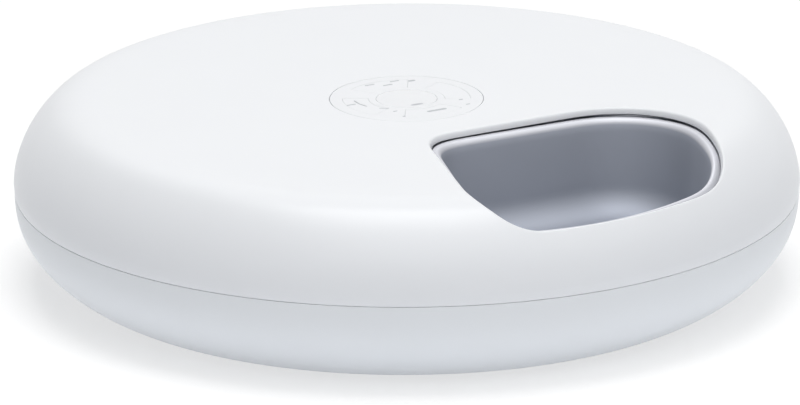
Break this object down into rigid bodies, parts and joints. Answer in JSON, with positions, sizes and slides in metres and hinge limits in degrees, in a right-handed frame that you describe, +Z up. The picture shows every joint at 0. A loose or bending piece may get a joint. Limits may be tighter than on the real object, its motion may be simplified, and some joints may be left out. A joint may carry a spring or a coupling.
{
  "type": "automatic wet food feeder",
  "caption": "Low round wet food feeder: a domed cover with a feeding opening over a motor-turned carousel of pans, with a key panel at its centre.",
  "frame": {"origin": "centre of the round base, on the floor the rubber feet stand on", "axes": "+Z up; the feeding opening faces -Y, the power socket faces +Y, the battery door slides +X"},
  "size_m": [0.32, 0.32, 0.077],
  "materials": {
    "cover": "smooth white",
    "shell": "smooth pale white",
    "frame": "moulded white",
    "pan": "satin stainless steel",
    "panel": "smooth white",
    "window": "clear-coated pale grey",
    "key": "smooth white",
    "inner": "moulded grey",
    "gear": "natural acetal",
    "pinion": "dark acetal",
    "board": "green laminate",
    "component": "moulded black",
    "header": "moulded cream",
    "steel": "plated",
    "cell": "plain wrap over a steel can",
    "foot": "soft grey",
    "lead": "flexible sleeve"
  },
  "bodies": {
    "base": {"glide_ring": "gear", "control_tower": "inner", "base_deck": "inner", "control_panel": "panel", "display_window": "window", "display_module": "component", "tact_switch_1": "component", "tact_switch_2": "component", "tact_switch_3": "component", "tact_switch_4": "component", "control_chip": "component", "buzzer": "component", "power_socket": "component", "main_board": "board", "position_sensor": "board", "power_board": "board", "cable_header": "header", "main_board_screw_1": "steel", "main_board_screw_2": "steel", "main_board_screw_3": "steel", "tower_screw_1": "steel", "tower_screw_2": "steel", "tower_screw_3": "steel", "drive_motor": "steel", "motor_screw_1": "steel", "motor_screw_2": "steel", "housing_screw_1": "steel", "housing_screw_2": "steel", "housing_screw_3": "steel", "housing_screw_4": "steel", "battery_terminal_positive": "steel", "battery_terminal_negative": "steel", "battery_link_1": "steel", "battery_link_2": "steel", "base_shell": "shell", "rubber_foot_1": "foot", "rubber_foot_2": "foot", "rubber_foot_3": "foot", "rubber_foot_4": "foot", "battery_cell_1": "cell", "battery_cell_2": "cell", "battery_cell_3": "cell", "motor_lead": "lead", "power_lead": "lead", "battery_lead": "lead"},
    "cover": {"top_cover": "cover"},
    "turntable": {"turntable": "gear"},
    "tray": {"carousel_frame": "frame", "food_pan_1": "pan", "food_pan_2": "pan", "food_pan_3": "pan", "food_pan_4": "pan", "food_pan_5": "pan"},
    "pinion": {"drive_pinion": "pinion", "motor_shaft": "steel"},
    "battery_door": {"battery_door": "shell"},
    "key_confirm": {"key_confirm": "key"},
    "key_up": {"key_up": "key"},
    "key_menu": {"key_menu": "key"},
    "key_down": {"key_down": "key"}
  },
  "joints": [
    {"name": "cover_lift", "type": "slide", "parent": "base", "child": "cover", "axis": [0, 0, 1], "range_m": [0, 0.09]},
    {"name": "turntable_spin", "type": "hinge", "parent": "base", "child": "turntable", "pos_m": [0, 0, 0.03], "axis": [0, 0, 1], "continuous": true},
    {"name": "tray_lift", "type": "slide", "parent": "turntable", "child": "tray", "axis": [0, 0, 1], "range_m": [0, 0.045]},
    {"name": "pinion_spin", "type": "hinge", "parent": "base", "child": "pinion", "pos_m": [-0.0675, 0, 0.03], "axis": [0, 0, 1], "continuous": true},
    {"name": "key_confirm_press", "type": "slide", "parent": "base", "child": "key_confirm", "axis": [0, 0, -1], "range_m": [0, 0.0006], "stiffness_N_per_m": 500},
    {"name": "key_up_press", "type": "slide", "parent": "base", "child": "key_up", "axis": [0, 0, -1], "range_m": [0, 0.0006], "stiffness_N_per_m": 500},
    {"name": "key_menu_press", "type": "slide", "parent": "base", "child": "key_menu", "axis": [0, 0, -1], "range_m": [0, 0.0006], "stiffness_N_per_m": 500},
    {"name": "key_down_press", "type": "slide", "parent": "base", "child": "key_down", "axis": [0, 0, -1], "range_m": [0, 0.0006], "stiffness_N_per_m": 500},
    {"name": "battery_door_slide", "type": "slide", "parent": "base", "child": "battery_door", "axis": [1, 0, 0], "range_m": [0, 0.012]}
  ],
  "couplings": [
    {"joint": "pinion_spin", "follows": "turntable_spin", "ratio": -5.4286},
    {"joint": "tray_lift", "follows": "cover_lift", "ratio": 0.5}
  ]
}
